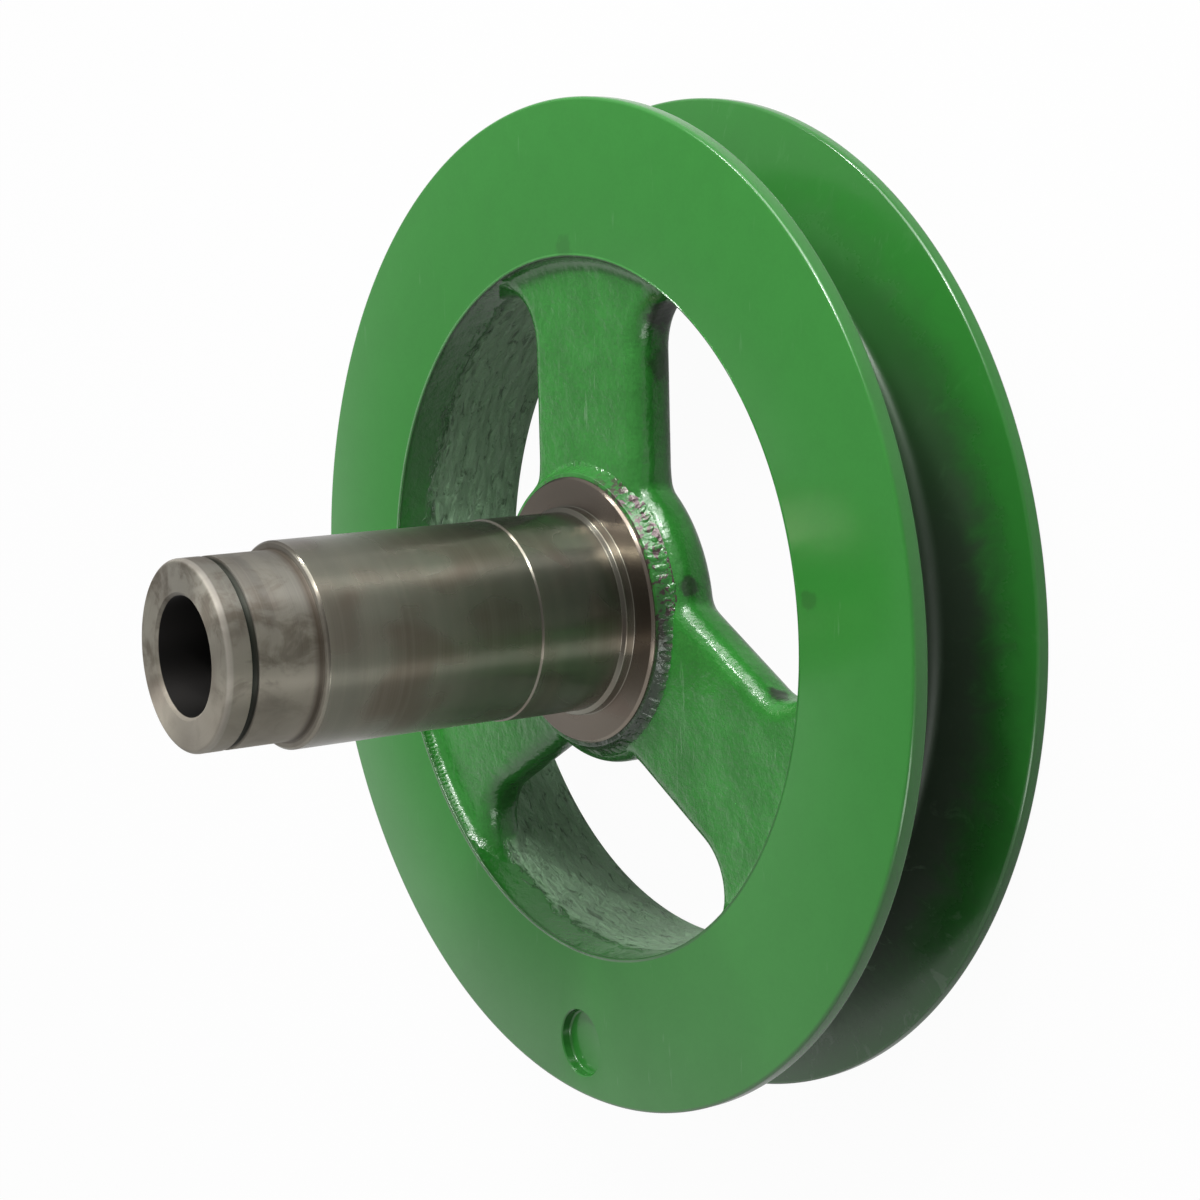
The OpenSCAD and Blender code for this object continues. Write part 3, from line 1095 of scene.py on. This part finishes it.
# %% Points scattered over the flat
GRID = 1.9
ROW = GRID * 0.866
REACH = 60
FILLET_STEP = 1.2
PAD_RINGS = PAD_R - 0.25, PAD_R, 35.0, 37.0
fillet_rings = [WEB_WALL_R - FILLET_R * (1 - math.sin(math.pi / 2 * k / 6)) for k in range(7)]


def ring_points(r, step):
    count = int(2 * math.pi * r / step)
    angles = (2 * math.pi * k / count for k in range(count))
    return [(r * math.cos(a), r * math.sin(a)) for a in angles]


def flat_points():
    """Rings where the height changes with the radius, and a hexagonal grid everywhere else."""
    points = []
    for r in PAD_RINGS:
        points += ring_points(r, GRID)
    for r in fillet_rings + [WEB_WALL_R + 1.6]:
        points += ring_points(r, FILLET_STEP)
    rows = int(2 * OUTER_R / ROW)
    for j in range(-rows // 2, rows // 2 + 1):
        for i in range(-REACH, REACH + 1):
            x, y = (i + 0.5 * (j % 2)) * GRID, j * ROW
            r = math.hypot(x, y)
            if 38.2 < r < WEB_WALL_R - FILLET_R - 0.9 or 29.2 < r < 31.0:
                points.append((x, y))
    points = np.array(points)
    points = points[within(points, border)]
    return points[insets_of(points) > EDGE_R + 0.55]


scattered = flat_points()
print("scattered", len(scattered), "points over the flat")

# %% Triangles of the flat
BORE_STEPS = 120


def flat_mesh():
    """Plan points and triangles of the flat: the border first, then the bore, then the scattered."""
    bore = [unit(2 * math.pi * k / BORE_STEPS) * BORE_R for k in range(BORE_STEPS)]
    points = border + bore + [Vector(p) for p in scattered]
    first = len(border)
    edges = [(i, (i + 1) % first) for i in range(first)]
    edges += [(first + i, first + (i + 1) % BORE_STEPS) for i in range(BORE_STEPS)]
    coords, _, faces, *_ = delaunay_2d_cdt(points, edges, [], 0, 1e-5)
    middles = np.array([[sum(coords[i][c] for i in face) / 3 for c in (0, 1)] for face in faces])
    keep = within(middles, border) & ~within(middles, bore)
    return coords, [face for face, k in zip(faces, keep) if k]


flat, triangles = flat_mesh()
print("flat:", len(flat), "points,", len(triangles), "triangles")

# %% [markdown]
# In the mould the casting lies between two half moulds, with the parting plane in its middle. The
# same plan therefore gives both faces: it is lifted for the front, dropped for the back, and closed
# along the windows, in the bore and inside the rim's metal. A shell closed in this way needs no
# Solidify, and every wall keeps the thickness that the CAD gives it.

# %% Front and back of the casting
def covered(work, inset, side):
    """The front (side 1) or back (side -1): the verts of its flat, and the rows of its strips."""
    def vert(p, depth):
        height = PARTING + side * face_height(p.x, p.y, depth, side)
        return work.verts.new((p.x * MM, p.y * MM, height * MM))

    def face(*corners):
        work.faces.new(corners if side > 0 else corners[::-1])

    verts = [vert(p, inset[i]) for i, p in enumerate(flat)]
    for a, b, c in triangles:
        face(verts[a], verts[b], verts[c])
    strips = []
    for start, chain in zip(starts, windows):
        rows = [[vert(p + n * t, t) for p, n in chain] for t in insets[:-1]]
        rows.append(verts[start:start + len(chain)])
        for low, high in zip(rows, rows[1:]):
            for k in range(len(chain) - 1):
                face(low[k], low[k + 1], high[k + 1], high[k])
        strips.append(rows)
    return verts, strips


def close_sides(work, front_side, back_side):
    """Walls at the windows, at the bore and inside the rim, between the front's and back's borders."""
    front, front_strips = front_side
    back, back_strips = back_side
    for up, down in zip(front_strips, back_strips):
        for k in range(len(up[0]) - 1):
            work.faces.new((up[0][k + 1], up[0][k], down[0][k], down[0][k + 1]))
        for end in (0, -1):
            loop = [row[end] for row in up] + [row[end] for row in reversed(down)]
            work.faces.new(loop if end == 0 else loop[::-1])
    first = len(border)
    for i in range(first):
        n = (i + 1) % first
        if not any(s <= i < s + len(windows[0]) - 1 for s in starts):
            work.faces.new((front[i], front[n], back[n], back[i]))
    for i in range(BORE_STEPS):
        a, b = first + i, first + (i + 1) % BORE_STEPS
        work.faces.new((front[b], front[a], back[a], back[b]))


# %% The casting between hub and rim
def spider_mesh(material):
    """The hub disc and its spokes, closed, running 5 mm into the rim's metal."""
    first = len(border)
    inset = insets_of([(p.x, p.y) for p in flat])
    inset[:first] = np.maximum(inset[:first], EDGE_R)
    work = bmesh.new()
    close_sides(work, covered(work, inset, 1), covered(work, inset, -1))
    print("spider:", len(work.faces), "faces,", closed_and_outward(work), "open edges")
    mesh = mesh_of(work, "spider")
    mesh.materials.append(material)
    return mesh


spider = new_object("spider", spider_mesh(ENAMEL))
smooth_by_angle(spider.data, 40)

# %% [markdown]
# A fillet bead fills the corner between the flange and the hub, like the run of a weld that was
# enamelled with the rest. Its body is turned. Its ripples repeat round the flange, each a little
# different, so a node tree places one crescent lump at every step and varies its size by a fixed seed.

# %% Body of the bead
BEAD_TOP = 39.6
BEAD_IN = FLANGE_R - 0.3
RIPPLE_RING = 36.1
RIPPLE_LEVEL = 37.05


def bead_outline():
    return rounded([
        (BEAD_IN, 34.4, 0),
        (38.45, 34.4, 0),
        (38.2, 35.0, 0),
        (RIPPLE_RING, RIPPLE_LEVEL, 3.0),
        (FLANGE_R + 1.0, BEAD_TOP, 0.5),
        (BEAD_IN, BEAD_TOP, 0),
    ])


print("the bead's section has", len(bead_outline()), "points")

# %% Crescent lump
LUMP_HALF_LENGTH = 2.75
LUMP_HALF_WIDTH = 1.45
LUMP_HEIGHT = 0.42
LUMP_SUNK = 0.12
LUMP_ROOT = 1.4
LUMP_BOW = 0.9
LUMP_CELLS = 8


def ripple_mesh():
    """Half a flattened lump along the bead's slope, bowed like a weld ripple, centred on the slope."""
    slope = Vector((38.2 - FLANGE_R - 1.0, 0, 35.0 - BEAD_TOP)).normalized()
    rise = Vector((-slope.z, 0, slope.x))
    work = bmesh.new()
    grid = []
    for i in range(LUMP_CELLS + 1):
        u = -1 + 2 * i / LUMP_CELLS
        fall = max(1 - u * u, 0.0) ** 0.5
        row = []
        for j in range(LUMP_CELLS + 1):
            v = -1 + 2 * j / LUMP_CELLS
            crest = math.cos(v * math.pi / 2) ** 0.8 if abs(v) < 1 else 0.0
            p = slope * (u * LUMP_HALF_LENGTH) + rise * (LUMP_HEIGHT * crest * fall - LUMP_SUNK)
            p.y = v * LUMP_HALF_WIDTH * (0.35 + 0.65 * fall) + LUMP_BOW * u * u
            row.append(work.verts.new(p * MM))
        grid.append(row)
    low = work.verts.new(rise * -LUMP_ROOT * MM)
    outer = grid[0] + [row[-1] for row in grid[1:-1]]
    outer += grid[-1][::-1] + [row[0] for row in grid[-2:0:-1]]
    for here, there in zip(grid, grid[1:]):
        for j in range(LUMP_CELLS):
            work.faces.new((here[j], there[j], there[j + 1], here[j + 1]))
    for a, b in zip(outer, outer[1:] + outer[:1]):
        work.faces.new((a, b, low))
    bmesh.ops.recalc_face_normals(work, faces=work.faces)
    return mesh_of(work, "ripple")


print("a lump is", 2 * LUMP_HALF_LENGTH, "by", 2 * LUMP_HALF_WIDTH, "by", LUMP_HEIGHT)

# %% Node tree that repeats the lump round the flange
TURN_WOBBLE = 0.05
SMALLEST = (0.85, 0.75, 0.55)
LARGEST = (1.05, 1.15, 1.25)
FLATTENED = 0.35


def random_value(tree, kind, low, high, first_socket, **links):
    """A random value between two, whose inputs start at a socket that depends on the kind."""
    node = add(tree, "FunctionNodeRandomValue", **links)
    node.data_type = kind
    node.inputs[first_socket].default_value = low
    node.inputs[first_socket + 1].default_value = high
    return node.outputs


def ripple_tree():
    tree, given, out = new_tree(
        "ring_of_ripples", "GeometryNodeTree",
        {
            "Lump": "Geometry", "Count": "Int", "Ring Radius": "Float", "Level": "Float",
            "Seed": "Int", "Smooth At": "Float", "Material": "Material",
        },
        {"Ripples": "Geometry"},
    )
    circle = add(tree, "GeometryNodeMeshCircle", Vertices=given["Count"], Radius=given["Ring Radius"])
    index = add(tree, "GeometryNodeInputIndex").outputs[0]
    angle = times(tree, math_node(tree, "DIVIDE", index, given["Count"]), 2 * math.pi)
    chance = {"ID": index, "Seed": given["Seed"]}
    wobble = random_value(tree, "FLOAT", -TURN_WOBBLE, TURN_WOBBLE, 2, **chance)[1]
    euler = combined(tree, Z=math_node(tree, "ADD", angle, wobble))
    turn = add(tree, "FunctionNodeEulerToRotation", euler).outputs[0]
    size = random_value(tree, "FLOAT_VECTOR", SMALLEST, LARGEST, 0, **chance)[0]
    away = math_node(tree, "COSINE", math_node(tree, "SUBTRACT", angle, given["Smooth At"]))
    flat_share = ranged(tree, away, 0.80, 0.97, 1.0, FLATTENED)
    scale = vector_math(tree, "MULTIPLY", size, combined(tree, X=1.0, Y=1.0, Z=flat_share))[0]
    put = add(
        tree, "GeometryNodeInstanceOnPoints", Points=circle.outputs["Mesh"], Instance=given["Lump"],
        Rotation=turn, Scale=scale,
    )
    lifted = add(
        tree, "GeometryNodeTransform", Geometry=put.outputs["Instances"],
        Translation=combined(tree, Z=given["Level"]),
    )
    fill_inputs(tree, out, Ripples=made_real(tree, lifted.outputs["Geometry"], given["Material"]))
    return tree


RING_OF_RIPPLES = ripple_tree()
print("ripple tree has", len(RING_OF_RIPPLES.nodes), "nodes")

# %% [markdown]
# The bead is enamelled like the wheel, but the coat has come off the ripples on the side that faces
# the light and left brown metal, so the bead has a material of its own with a mask round the axis.
# On the side away from the light, its foot by the flange is painted dark as shade.

# %% Enamel on the bead
BARE = (0.060, 0.036, 0.038, 1)
BARE_FROM = math.radians(28)
SHADED_FROM = math.radians(-40)
SHADED_WITHIN = 37.6, 35.2
BEAD_RELIEF = 0.00026


def bead_material():
    material, tree, shader, place = new_material("bead_enamel")
    skin = placed(tree, CAST_SKIN, place, Grain_Size=0.0016)
    axes = separated(tree, place)
    angle = math_node(tree, "ARCTAN2", axes["Y"], axes["X"])

    def towards(direction, low, high):
        """1 on the side of the bead that lies in a direction, 0 on the other."""
        near = math_node(tree, "COSINE", math_node(tree, "SUBTRACT", angle, direction))
        return ranged(tree, near, low, high)

    flake = noise_node(tree, place, scale=420.0, detail=4.0, roughness=0.62, distortion=0.5)
    bare = times(tree, towards(BARE_FROM, 0.55, 0.92), ranged(tree, flake, 0.49, 0.55))
    bare = math_node(tree, "MAXIMUM", bare, times(tree, ranged(tree, flake, 0.66, 0.70), 0.7))
    shaded_ring = faded(tree, radius_of(tree, axes), *SHADED_WITHIN)
    # Painted shade at the bead's foot on the side away from the light.
    under = times(tree, towards(SHADED_FROM, 0.35, 0.85), shaded_ring)
    colour = coated(
        tree, GREEN, (skin["Mottle"], 1, DEEP_GREEN), (bare, 1, BARE), (under, 0.85, GREASE_AND_SHADE)
    )
    fill_inputs(
        tree, shader, Base_Color=colour, Roughness=line(tree, bare, 0.12, 0.14),
        Metallic=times(tree, bare, 0.35), Normal=bumped(tree, skin["Height"], BEAD_RELIEF),
    )
    return material


BEAD_ENAMEL = bead_material()
bead = turned("bead", bead_outline(), 360, BEAD_ENAMEL)

# %% Ripples on the bead
RIPPLES = 84
ripples = made_by_nodes(
    "ripples", ripple_mesh(), RING_OF_RIPPLES, Count=RIPPLES, Ring_Radius=RIPPLE_RING * MM,
    Level=RIPPLE_LEVEL * MM, Seed=4, Smooth_At=math.radians(85), Material=BEAD_ENAMEL,
)
outward(ripples.data)


def joined(name, *pieces):
    """One object with the faces of several."""
    work = bmesh.new()
    for piece in pieces:
        work.from_mesh(piece.data)
        bpy.data.objects.remove(piece)
    return new_object(name, mesh_of(work, name))


bead = joined("hub_bead", bead, ripples)
bead.data.materials.append(BEAD_ENAMEL)
smooth_by_angle(bead.data, 60)
print("bead with", RIPPLES, "ripples:", len(bead.data.polygons), "faces")

# %% [markdown]
# The quill is one turning from end to end: spigot and flange, collar, root bearing seat, plain shaft,
# shoulder, end seat, ring groove and end collar, with a bore through it. Corners that a lathe leaves
# sharp get a tenth or two of rounding, because it is that sliver which catches the light.

# %% Quill
SHOULDER = 124.3
RING_START = 140.5
RING_WIDTH = 1.85
QUILL_END = 148.65
ROOT_END = 66.5
COLLAR_TOP = FLANGE_FACE + 1.8
COLLAR_R = 26.2
ROOT_SEAT_R = 25.0
SHAFT_R = 24.6
END_SEAT_R = 22.5
RING_R = 21.25
QUILL_BORE_R = 14.0
BORE_CHAMFER = 0.8
CHAMFER = 0.6
SPIGOT_R = BORE_R - 0.02
BREAK = 0.18


def quill_outline():
    return rounded([
        (QUILL_BORE_R, HUB_BACK + BORE_CHAMFER, 0),
        (QUILL_BORE_R + BORE_CHAMFER, HUB_BACK, BREAK),
        (BORE_R - 0.4, HUB_BACK, 0),
        (SPIGOT_R, HUB_BACK + 0.4, 0),
        (SPIGOT_R, HUB_FRONT, 0),
        (FLANGE_R, HUB_FRONT, 0),
        (FLANGE_R, FLANGE_FACE - CHAMFER, BREAK),
        (FLANGE_R - CHAMFER, FLANGE_FACE, BREAK),
        (COLLAR_R, FLANGE_FACE, 0.25),
        (COLLAR_R, COLLAR_TOP + 0.6, 0.4),
        (ROOT_SEAT_R, COLLAR_TOP + 1.15, 0.15),
        (ROOT_SEAT_R, ROOT_END - 0.42, 0.08),
        (SHAFT_R, ROOT_END, 0),
        (SHAFT_R, SHOULDER - CHAMFER, BREAK),
        (SHAFT_R - CHAMFER, SHOULDER, BREAK),
        (END_SEAT_R, SHOULDER, 0.3),
        (END_SEAT_R, RING_START, BREAK),
        (RING_R, RING_START, 0.12),
        (RING_R, RING_START + RING_WIDTH, 0.12),
        (END_SEAT_R, RING_START + RING_WIDTH, BREAK),
        (END_SEAT_R, QUILL_END, 1.2),
        (QUILL_BORE_R + BORE_CHAMFER, QUILL_END, BREAK),
        (QUILL_BORE_R, QUILL_END - BORE_CHAMFER, BREAK),
    ])


quill = turned("quill", quill_outline(), 288, STEEL)
smooth_by_angle(quill.data, 32)

# %% [markdown]
# The floor is one plain sheet that takes the pulley's shadow. A tinted floor would colour the steel,
# so it is white. Camera rays meet it nearly as bright as the backdrop, and the polished faces mirror
# it at about half of that, as a dim studio would show in them. All other rays meet a pale diffuse
# sheet, which throws little light back, so the underside of the rim stays dark as in the photograph.

# %% Floor
FLOOR_HALF = 4.0
FLOOR_GAP = 0.0002
FLOOR_GREY = 0.55
SEEN_FLOOR = 0.965
MIRRORED_FLOOR = 0.46


def floor_material():
    material, tree, shader, _ = new_material("studio_floor")
    sheet = (FLOOR_GREY, FLOOR_GREY, FLOOR_GREY, 1)
    fill_inputs(tree, shader, Base_Color=sheet, Roughness=1.0, Specular_IOR_Level=0.0)
    glow = add(tree, "ShaderNodeEmission")
    path = add(tree, "ShaderNodeLightPath").outputs
    mirrored = times(tree, path["Is Glossy Ray"], MIRRORED_FLOOR)
    share = line(tree, path["Is Camera Ray"], SEEN_FLOOR, mirrored)
    mix = add(tree, "ShaderNodeMixShader", share, shader.outputs[0], glow.outputs[0])
    fill_inputs(tree, tree.nodes["Material Output"], Surface=mix.outputs[0])
    return material


def build_floor():
    h, z = FLOOR_HALF, -FLOOR_GAP
    mesh = bpy.data.meshes.new("floor")
    mesh.from_pydata([(-h, -h, z), (h, -h, z), (h, h, z), (-h, h, z)], [], [(0, 1, 2, 3)])
    mesh.materials.append(floor_material())
    floor = new_object("floor", mesh)
    return floor


print("floor is", 2 * FLOOR_HALF, "metres wide:", build_floor().name)

# %% [markdown]
# Product light. A broad soft box stands over the picture's top, and a second one in front of the
# wheel fills its faces together with a weak one beside the camera. Those two would lie as pale sheets
# on the gloss paint, so glossy rays pass them by. Two small boxes draw the glints along the rounded
# edges, and two strips only draw the long highlights on the steel. Levels are plain, so that a colour
# renders as written.

# %% Lamps
def soft_box(name, direction, distance, width, height, watts):
    """A rectangular area lamp that looks at the pulley from a direction in the row frame."""
    data = bpy.data.lights.new(name, "AREA")
    data.shape = "RECTANGLE"
    data.size = width
    data.size_y = height
    data.energy = watts
    lamp = bpy.data.objects.new(name, data)
    way = Vector(direction).normalized()
    lamp.location = LOOK_AT + way * distance
    lamp.rotation_euler = way.to_track_quat("Z", "Y").to_euler()
    bpy.context.collection.objects.link(lamp)
    return lamp


soft_box("top_box", (0.20, 1.0, 0.60), 1.1, 0.8, 0.6, 9.0)
soft_box("glint_box", (0.30, 0.9, 0.75), 1.0, 0.10, 0.10, 3.0)
soft_box("edge_box", (-0.30, 0.75, 0.58), 1.0, 0.10, 0.10, 2.6)
fills = (
    soft_box("front_box", (-0.18, -0.10, 1.0), 1.2, 0.9, 0.9, 5.4),
    soft_box("camera_box", (1.0, 0.25, 0.6), 1.3, 0.9, 0.9, 0.5),
)
for fill_box in fills:
    fill_box.visible_glossy = False
steel_strips = (
    soft_box("shaft_box", (0.36, 0.93, 0.35), 1.0, 0.26, 0.6, 2.6),
    soft_box("low_box", (0.84, -0.54, 0.35), 1.0, 0.26, 0.6, 2.2),
)
for strip in steel_strips:
    strip.visible_diffuse = False
print("fills:", [box.name for box in fills], "strips:", [box.name for box in steel_strips])

# %% [markdown]
# The backdrop is the world itself: white wherever the camera sees it. Gloss paint and steel mirror it
# too, and a wholly white room would wash them out, so for those rays it turns grey towards the
# ceiling and the picture's top. The ambient light that falls on the pulley rises the same way.

# %% World
CEILING_TURN = 1.2
CEILING_FROM = -0.05
CEILING_TO = 0.60
CEILING_GREY = 0.35
AMBIENT_FROM = -0.2
AMBIENT_LOW = 0.06
AMBIENT_HIGH = 0.95


def studio_world():
    """White to camera rays, grey above to mirrored rays, and ambient light that rises towards +Y."""
    world = bpy.data.worlds.new("studio")
    world.use_nodes = True
    tree = world.node_tree
    axes = separated(tree, add(tree, "ShaderNodeTexCoord").outputs["Generated"])
    path = add(tree, "ShaderNodeLightPath").outputs
    slant = line(tree, axes["Y"], CEILING_TURN, axes["Z"])
    ceiling = ranged(tree, slant, CEILING_FROM, CEILING_TO, 1.0, CEILING_GREY)
    direct = math_node(tree, "MAXIMUM", path["Is Camera Ray"], path["Is Glossy Ray"])
    direct = math_node(tree, "MAXIMUM", direct, path["Is Transmission Ray"])
    seen = math_node(tree, "MAXIMUM", times(tree, direct, ceiling), path["Is Camera Ray"])
    ambient = ranged(tree, axes["Y"], AMBIENT_FROM, 1.0, AMBIENT_LOW, AMBIENT_HIGH)
    strength = math_node(tree, "MAXIMUM", seen, ambient)
    fill_inputs(tree, tree.nodes["Background"], Color=(1, 1, 1, 1), Strength=strength)
    bpy.context.scene.world = world
    return world


print("world:", studio_world().name)
bpy.context.scene.view_settings.view_transform = "Standard"

# %% [markdown]
# Each piece rides on the part's one body and stands in for the CAD node that it dresses, which is
# hidden.

# %% Hand over to the frame
for piece in (rim, spider, bead):
    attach(piece, "root")
    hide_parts("cast_wheel")
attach(quill, "root")
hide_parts("bearing_quill")
